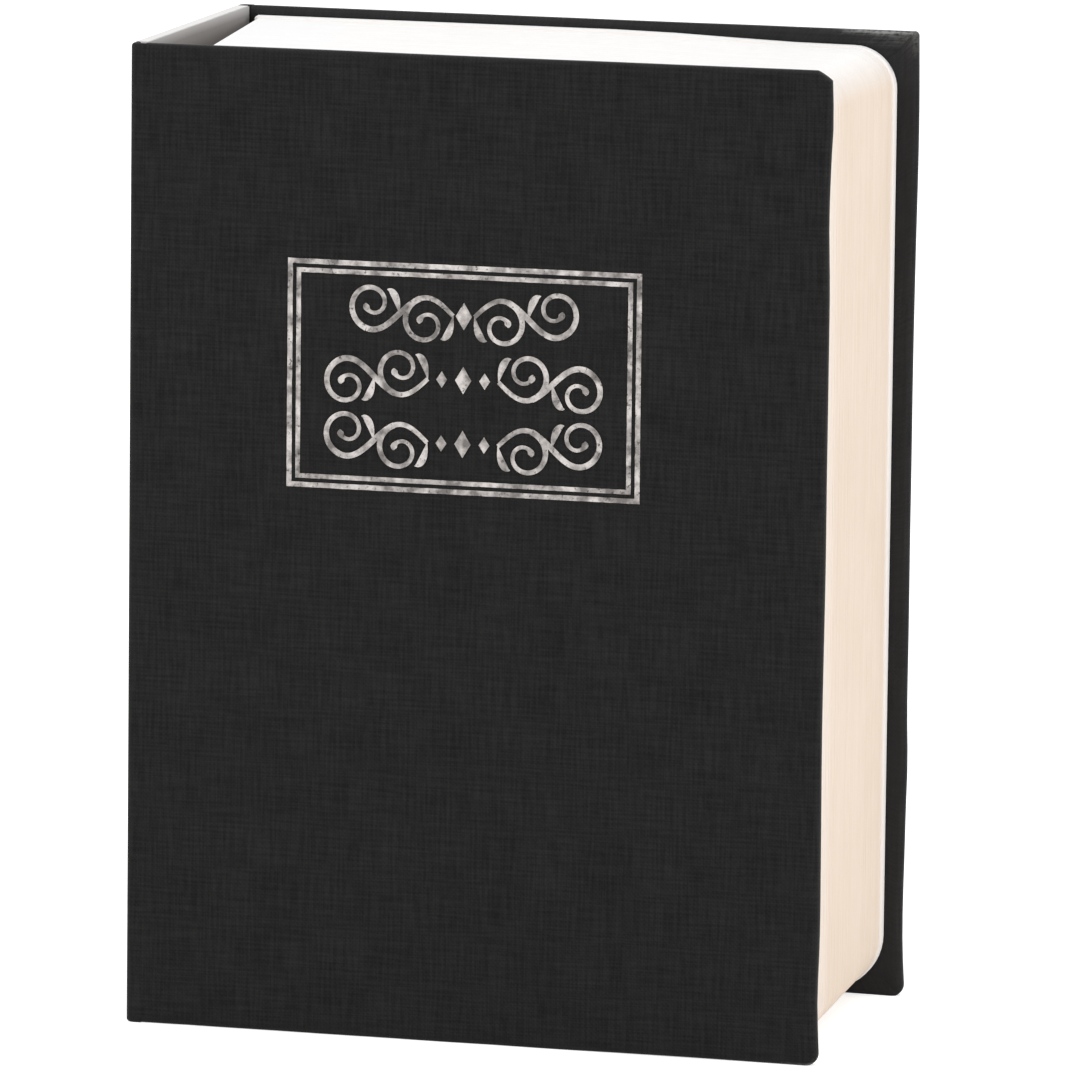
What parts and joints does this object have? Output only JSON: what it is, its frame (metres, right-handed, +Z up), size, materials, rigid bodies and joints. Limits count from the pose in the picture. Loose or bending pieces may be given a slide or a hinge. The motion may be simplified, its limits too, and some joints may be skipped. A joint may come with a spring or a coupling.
{
  "type": "book diversion safe",
  "caption": "Closed black cloth book with cream page edges that hides a steel cash box with a hinged lid and a key lock.",
  "frame": {"origin": "centre of the bounding box's bottom face, where the book stands on its tail edge", "axes": "+Z up the book's height, +X from the spine to the fore-edge, +Y from the front cover to the back"},
  "size_m": [0.13, 0.07, 0.18],
  "materials": {
    "book_cloth": "matt woven book cloth",
    "card": "plain grey board",
    "pale_card": "smooth pale board",
    "lining_paper": "matt paper",
    "silver_foil": "hot stamped foil",
    "page_cream": "moulded, ribbed like page edges",
    "black_steel": "black powder coat",
    "plated_steel": "bright plated",
    "lock_brass": "turned brass"
  },
  "bodies": {
    "safe": {"back_board": "card", "back_cloth": "book_cloth", "back_lining": "lining_paper", "back_joint_cloth": "book_cloth", "page_shell": "page_cream", "cash_tray": "black_steel", "tray_hinge_leaf": "black_steel", "hinge_pin": "plated_steel", "lock_strike": "plated_steel"},
    "spine": {"spine_board": "pale_card", "spine_cloth": "book_cloth", "spine_lining": "lining_paper", "front_joint_cloth": "book_cloth"},
    "cover": {"front_board": "card", "front_cloth": "book_cloth", "front_lining": "lining_paper", "title_rule_outer": "silver_foil", "title_rule_inner": "silver_foil"},
    "lid": {"box_lid": "black_steel", "lid_hinge_leaf": "black_steel", "lock_housing": "plated_steel", "lock_nut": "plated_steel"},
    "lock": {"lock_plug": "lock_brass", "lock_wafer_1": "lock_brass", "lock_wafer_2": "lock_brass", "lock_wafer_3": "lock_brass", "lock_wafer_4": "lock_brass", "lock_stop_washer": "plated_steel", "lock_cam": "plated_steel", "cam_washer": "plated_steel", "cam_screw": "plated_steel"}
  },
  "joints": [
    {"name": "spine_fold", "type": "hinge", "parent": "safe", "child": "spine", "pos_m": [-0.0637, 0.0337, 0.09], "axis": [0, 0, -1], "range_deg": [0, 90], "deforming": ["back_joint_cloth"]},
    {"name": "cover_hinge", "type": "hinge", "parent": "spine", "child": "cover", "pos_m": [-0.0637, -0.0337, 0.09], "axis": [0, 0, -1], "range_deg": [0, 175], "deforming": ["front_joint_cloth"]},
    {"name": "lid_hinge", "type": "hinge", "parent": "safe", "child": "lid", "pos_m": [-0.0442, -0.0296, 0.09], "axis": [0, 0, -1], "range_deg": [0, 105]},
    {"name": "lock_turn", "type": "hinge", "parent": "lid", "child": "lock", "pos_m": [0.0361, -0.02, 0.09], "axis": [0, -1, 0], "range_deg": [0, 90]}
  ],
  "couplings": [
    {"joint": "lid_hinge", "follows": "cover_hinge", "ratio": 0.6}
  ]
}
